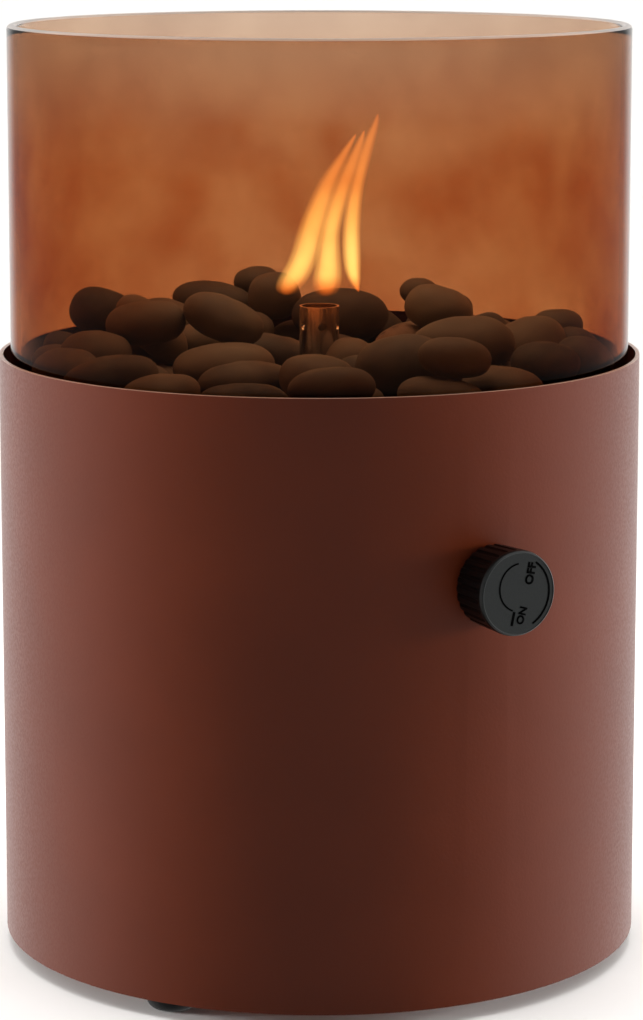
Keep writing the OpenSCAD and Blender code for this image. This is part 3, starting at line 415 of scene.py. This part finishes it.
# Glass chimney: a straight clear borosilicate tube, its cut ends melted round in a flame. The
# amber-brown tint is a stain fired on its outside, cloudy and paler towards the top.
amber, tree, shader = start_material(
    "amber_borosilicate", Roughness=0.0, IOR=1.14, Transmission_Weight=1.0)
wall = 0.0032
low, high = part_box("glass_chimney")
where = add(tree, "ShaderNodeTexCoord")
place = add(tree, "ShaderNodeSeparateXYZ", {0: (where, "Object")})
paler = add(tree, "ShaderNodeMapRange", {
    "Value": (place, "Z"), "From Min": 0.250, "From Max": 0.296})
cloud = add(tree, "ShaderNodeTexNoise", {
    "Vector": (where, "Object"), "Scale": 1000 / 32, "Detail": 3, "Roughness": 0.5})
drift = add(tree, "ShaderNodeMapRange", {
    "Value": (cloud, "Fac"), "From Min": 0.3, "From Max": 0.7})
fired = add(tree, "ShaderNodeMix", {
    0: (drift, 0), 6: linear("#8F4019"), 7: linear("#AF6F41")}, data_type="RGBA")
thin = add(tree, "ShaderNodeMix", {
    0: (drift, 0), 6: linear("#9A7559"), 7: linear("#AE8566")}, data_type="RGBA")
stain = add(tree, "ShaderNodeMix", {
    0: (paler, 0), 6: (fired, 2), 7: (thin, 2)}, data_type="RGBA")
# Light that crosses the stain at a slant passes more of it: 1 / cosine of the angle within real
# glass. The shader's own index is lower, which keeps its mirrored lines as faint as they are
true_index = 1.5
facing = add(tree, "ShaderNodeLayerWeight", {"Blend": 0.5})
cosine = add(tree, "ShaderNodeMath", {0: 1.0, 1: (facing, "Facing")}, operation="SUBTRACT")
square = add(tree, "ShaderNodeMath", {0: (cosine, 0), 1: 2.0}, operation="POWER")
within = add(tree, "ShaderNodeMath", {
    0: (square, 0), 1: 1 / true_index ** 2, 2: 1 - 1 / true_index ** 2},
    operation="MULTIPLY_ADD")
slant = add(tree, "ShaderNodeMath", {0: (within, 0), 1: -0.5}, operation="POWER")
crossed = add(tree, "ShaderNodeGamma", {"Color": (stain, 2), "Gamma": (slant, 0)})
flat = add(tree, "ShaderNodeVectorMath", {
    0: (where, "Object"), 1: (1, 1, 0)}, operation="MULTIPLY")
from_axis = add(tree, "ShaderNodeVectorMath", {0: (flat, 0)}, operation="LENGTH")
outside = add(tree, "ShaderNodeMath", {
    0: (from_axis, "Value"), 1: high.x - wall / 2}, operation="GREATER_THAN")
tint = add(tree, "ShaderNodeMix", {
    0: (outside, 0), 6: linear("#FCFBFA"), 7: (crossed, 0)}, data_type="RGBA")
tree.links.new(tint.outputs[2], shader.inputs["Base Color"])

# The melted rim is faintly frosted, and its pale colour is a painted highlight along it, so it
# shows as a pale line
rim_highlight_glass, tree, shader = start_material(
    "melted_rim", Roughness=0.3, IOR=1.14, Transmission_Weight=0.6)
where = add(tree, "ShaderNodeTexCoord")
haze = add(tree, "ShaderNodeTexNoise", {
    "Vector": (where, "Object"), "Scale": 1000 / 6, "Detail": 2})
painted_rim_highlight = add(tree, "ShaderNodeMix", {
    0: (haze, "Fac"), 6: linear("#B6ACA6"), 7: linear("#BCB2AC")}, data_type="RGBA")
tree.links.new(painted_rim_highlight.outputs[2], shader.inputs["Base Color"])

# The wall's profile is a circle pulled apart into two round ends, spun about the axis
bm = bmesh.new()
outline = bmesh.ops.create_circle(bm, segments=16, radius=wall / 2)["verts"]
half_step = math.radians(360 / 16 / 2)
bmesh.ops.rotate(bm, verts=outline, matrix=Matrix.Rotation(half_step, 3, "Z"))
bmesh.ops.rotate(bm, verts=outline, matrix=Matrix.Rotation(math.radians(90), 3, "X"))
upper = [v for v in outline if v.co.z > 0]
bmesh.ops.translate(bm, verts=outline, vec=(high.x - wall / 2, 0, low.z + wall / 2))
bmesh.ops.translate(bm, verts=upper, vec=(0, 0, high.z - low.z - wall))
bmesh.ops.spin(
    bm, geom=bm.verts[:] + bm.edges[:], axis=(0, 0, 1), cent=(0, 0, 0), angle=2 * math.pi,
    steps=192, use_merge=True)
# A loop just inside each end keeps the smooth shading of the straight wall clean
for cut in (low.z + 0.004, high.z - 0.004):
    bmesh.ops.bisect_plane(
        bm, geom=bm.verts[:] + bm.edges[:] + bm.faces[:], plane_co=(0, 0, cut),
        plane_no=(0, 0, 1))
bmesh.ops.remove_doubles(bm, verts=bm.verts, dist=1e-6)
bmesh.ops.recalc_face_normals(bm, faces=bm.faces)
for face in bm.faces:
    if face.calc_center_median().z > high.z - wall / 4:
        face.material_index = 1
piece = finish_piece(bm, "glass_tube", amber, "glass")
piece.data.materials.append(rim_highlight_glass)
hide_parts("glass_chimney")


# Knob: moulded glass-filled nylon, black. Its face has a dull spark-eroded grain, and its
# ribs are smoother, since they must slide out of the mould. The ribs are painted darker as shade.
knob_turn = math.radians(29.6)
outward = Vector((math.sin(knob_turn), -math.cos(knob_turn), 0))
nylon, tree, shader = start_material("moulded_nylon", IOR=1.3)
where = add(tree, "ShaderNodeTexCoord")
spark = add(tree, "ShaderNodeTexNoise", {
    "Vector": (where, "Object"), "Scale": 1000 / 0.45, "Detail": 3})
grained = add(tree, "ShaderNodeMix", {
    0: (spark, "Fac"), 6: linear("#191B1B"), 7: linear("#242626")}, data_type="RGBA")
ahead = add(tree, "ShaderNodeVectorMath", {
    0: (where, "Normal"), 1: outward}, operation="DOT_PRODUCT")
on_front = add(tree, "ShaderNodeMath", {
    0: (ahead, "Value"), 1: 0.5}, operation="GREATER_THAN")
# Painted shade: the ribs get a near-black base colour, darker than the lit face
grain_and_painted_rib_shade = add(tree, "ShaderNodeMix", {
    0: (on_front, 0), 6: linear("#030303"), 7: (grained, 2)}, data_type="RGBA")
gloss = add(tree, "ShaderNodeMix", {0: (on_front, 0), 2: 0.32, 3: 0.42})
eroded = add(tree, "ShaderNodeBump", {
    "Height": (spark, "Fac"), "Strength": 0.15, "Distance": 0.0001})
tree.links.new(grain_and_painted_rib_shade.outputs[2], shader.inputs["Base Color"])
tree.links.new(gloss.outputs[0], shader.inputs["Roughness"])
tree.links.new(eroded.outputs[0], shader.inputs["Normal"])
give(nylon, "knob")


# Marks on the knob's face: hot stamped in dull black, ON and OFF with two arcs that thin
# out towards off, and a tick at the lit setting.
stamp, tree, shader = start_material("stamped_foil", Roughness=0.8, IOR=1.1)
where = add(tree, "ShaderNodeTexCoord")
dust = add(tree, "ShaderNodeTexNoise", {
    "Vector": (where, "Object"), "Scale": 1000 / 0.5, "Detail": 2})
ink = add(tree, "ShaderNodeMix", {
    0: (dust, "Fac"), 6: linear("#010101"), 7: linear("#040404")}, data_type="RGBA")
tree.links.new(ink.outputs[2], shader.inputs["Base Color"])
face_r = 0.0128
face_at = 0.1158
spindle_z = 0.1314
foil = 0.00012
up = Vector((0, 0, 1))
across = Vector((math.cos(knob_turn), math.sin(knob_turn), 0))
facing_out = Matrix((across, up, outward)).transposed().to_4x4()
on_face = Matrix.Translation(outward * face_at + up * spindle_z) @ facing_out
bm = bmesh.new()
# Arcs: centre x, y, radius and line width in shares of the face's radius, then degrees
for x, y, radius, width, start, end in (
        (0.055, 0.136, 0.57, 0.035, 96, 248), (0, 0, 0.84, 0.045, 56, -62)):
    middle = Vector((x, y, 0))
    spoke = Vector((math.cos(math.radians(start)), math.sin(math.radians(start)), 0))
    line = [bm.verts.new((middle + spoke * r) * face_r) for r in (radius, radius - width)]
    bmesh.ops.spin(
        bm, geom=line + [bm.edges.new(line)], axis=(0, 0, 1), cent=(x * face_r, y * face_r, 0),
        angle=math.radians(end - start), steps=40)
tick = bmesh.ops.create_grid(bm, x_segments=1, y_segments=1, size=1)["verts"]
bmesh.ops.scale(bm, verts=tick, vec=(0.03 * face_r, 0.16 * face_r, 1))
bmesh.ops.rotate(bm, verts=tick, matrix=Matrix.Rotation(math.radians(-12), 3, "Z"))
bmesh.ops.translate(bm, verts=tick, vec=(-0.14 * face_r, -0.565 * face_r, 0))
bmesh.ops.recalc_face_normals(bm, faces=bm.faces)
# Words: centre x, y and height in shares of the face's radius, then the turn in degrees
for word, x, y, size, turn in (("OFF", 0.33, 0.43, 0.29, 78), ("ON", 0.1, -0.51, 0.26, 72)):
    text = bpy.data.curves.new("text", "FONT")
    text.body = word
    text.size = size * face_r
    text.offset = 0.035 * size * face_r
    text.align_x = "CENTER"
    text.align_y = "CENTER"
    letters = bpy.data.objects.new("text", text)
    scene.collection.objects.link(letters)
    view = bpy.context.evaluated_depsgraph_get()
    flat = bpy.data.meshes.new_from_object(letters.evaluated_get(view))
    bpy.data.objects.remove(letters)
    turned = Matrix.Rotation(math.radians(turn), 4, "Z")
    flat.transform(Matrix.Translation((x * face_r, y * face_r, 0)) @ turned)
    bm.from_mesh(flat)
    bpy.data.meshes.remove(flat)
# All faces look out of the knob before they get the foil's thickness, and stand on its face
bm.normal_update()
bmesh.ops.reverse_faces(bm, faces=[face for face in bm.faces if face.normal.z < 0])
bmesh.ops.solidify(bm, geom=bm.faces[:], thickness=foil)
bmesh.ops.translate(bm, verts=bm.verts, vec=(0, 0, -min(v.co.z for v in bm.verts)))
bmesh.ops.recalc_face_normals(bm, faces=bm.faces)
bmesh.ops.transform(bm, matrix=on_face, verts=bm.verts)
finish_piece(bm, "knob_marks", stamp, "knob", smooth=False)


# Flame: burning gas above the tube's mouth, three thin tongues that lean to the right in
# the draught. It glows from within, yellow at the foot and orange higher up.
glow, tree, shader = start_material("burning_gas")
tree.nodes.remove(shader)
where = add(tree, "ShaderNodeTexCoord")
height = add(tree, "ShaderNodeSeparateXYZ", {0: (where, "Object")})
climb = add(tree, "ShaderNodeMapRange", {
    "Value": (height, "Z"), "From Min": 0.204, "From Max": 0.264})
colour = add(tree, "ShaderNodeValToRGB", {0: (climb, 0)})
stops = colour.color_ramp.elements
stops[0].position, stops[0].color = 0.04, linear("#FF9A3E")
stops[1].position, stops[1].color = 0.95, linear("#FFB066")
for spot, shade in ((0.13, "#FFF3A0"), (0.24, "#FFF6A4"), (0.42, "#FFE08A"), (0.62, "#FFC678")):
    stops.new(spot).color = linear(shade)
heat = add(tree, "ShaderNodeAttribute", attribute_name="heat")
force = add(tree, "ShaderNodeMapRange", {
    "Value": (height, "Z"), "From Min": 0.214, "From Max": 0.240, "To Min": 3.4, "To Max": 2.1})
light = add(tree, "ShaderNodeEmission", {"Color": (colour, 0), "Strength": (force, 0)})
clear = add(tree, "ShaderNodeBsdfTransparent")
# It thins out towards its outline, its foot and its tip
facing = add(tree, "ShaderNodeLayerWeight", {"Blend": 0.5})
inward = add(tree, "ShaderNodeMath", {0: 1.0, 1: (facing, "Facing")}, operation="SUBTRACT")
depth = add(tree, "ShaderNodeMath", {0: (inward, 0), 1: 2.0}, operation="POWER")
foot = add(tree, "ShaderNodeMapRange", {
    "Value": (height, "Z"), "From Min": 0.2042, "From Max": 0.2105})
tip = add(tree, "ShaderNodeMapRange", {
    "Value": (height, "Z"), "From Min": 0.234, "From Max": 0.263, "To Min": 1.0, "To Max": 0.25})
share = add(tree, "ShaderNodeMapRange", {"Value": (heat, "Fac"), "To Min": 0.3, "To Max": 0.9})
thickness = depth
for part in (foot, tip, share):
    thickness = add(tree, "ShaderNodeMath", {0: (thickness, 0), 1: (part, 0)}, operation="MULTIPLY")
mixed = add(tree, "ShaderNodeMixShader", {0: (thickness, 0), 1: (clear, 0), 2: (light, 0)})
tree.links.new(mixed.outputs[0], tree.nodes["Material Output"].inputs["Surface"])

# Each tongue: x, z of its middle and its half width, in mm, from the foot to the tip
tongues = (
    ((-10.2, 205.2, 1.2), (-10.0, 207.5, 3.2), (-7.3, 212, 3.5), (-4.4, 218, 3.2),
     (-3.0, 224, 3.2), (-1.2, 230, 3.0), (0.9, 236, 2.7), (3.2, 242, 2.3), (6.6, 248, 1.6),
     (9.6, 253, 0.9), (11.4, 256, 0.2)),
    ((2.0, 204.4, 1.4), (2.2, 206.8, 3.3), (2.6, 212, 3.2), (2.9, 218, 2.7), (3.1, 224, 2.2),
     (4.5, 230, 2.1), (6.3, 236, 2.2), (8.4, 242, 2.2), (10.6, 248, 1.8), (12.7, 253, 1.1),
     (14.0, 257, 0.2)),
    ((12.4, 205.8, 0.2), (11.2, 208.5, 1.2), (10.3, 213, 1.9), (10.0, 219, 2.1), (9.9, 225, 2.0),
     (10.4, 231, 1.9), (11.2, 237, 1.7), (12.6, 243, 1.6), (14.2, 249, 1.7), (16.0, 255, 1.4),
     (17.6, 259, 0.9), (18.2, 262, 0.2)))
# A faint sheath lies round each bright core
bm = bmesh.new()
own_heat = bm.verts.layers.float.new("heat")
shells = [
    (tongue, y, width, hot) for tongue, y in zip(tongues, (-1.5, 1.0, 2.5))
    for width, hot in ((1.5, 0.0), (0.95, 1.0))]
for tongue, y, width, hot in shells:
    made_before = len(bm.verts)
    x, z, radius = tongue[0]
    loop = bmesh.ops.create_circle(
        bm, cap_ends=True, segments=20, radius=radius * width / 1000)["verts"]
    bmesh.ops.translate(bm, verts=loop, vec=(x / 1000, y / 1000, z / 1000))
    ring = [e for e in bm.edges
            if all(v in loop for v in e.verts) and len(e.link_faces) == 1]
    for next_x, next_z, next_radius in tongue[1:]:
        raised = bmesh.ops.extrude_edge_only(bm, edges=ring)["geom"]
        loop = [v for v in raised if isinstance(v, bmesh.types.BMVert)]
        ring = [e for e in raised
                if isinstance(e, bmesh.types.BMEdge) and all(v in loop for v in e.verts)]
        bmesh.ops.scale(
            bm, verts=loop, vec=(next_radius / radius,) * 3,
            space=Matrix.Translation((-x / 1000, -y / 1000, -z / 1000)))
        bmesh.ops.translate(
            bm, verts=loop, vec=((next_x - x) / 1000, 0, (next_z - z) / 1000))
        x, z, radius = next_x, next_z, next_radius
    bmesh.ops.contextual_create(bm, geom=ring)
    bm.verts.ensure_lookup_table()
    for v in bm.verts[made_before:]:
        v[own_heat] = hot
bmesh.ops.recalc_face_normals(bm, faces=bm.faces)
flame = finish_piece(bm, "gas_flame", glow, "base")
rounder = flame.modifiers.new("rounder", "SUBSURF")
rounder.levels = rounder.render_levels = 2
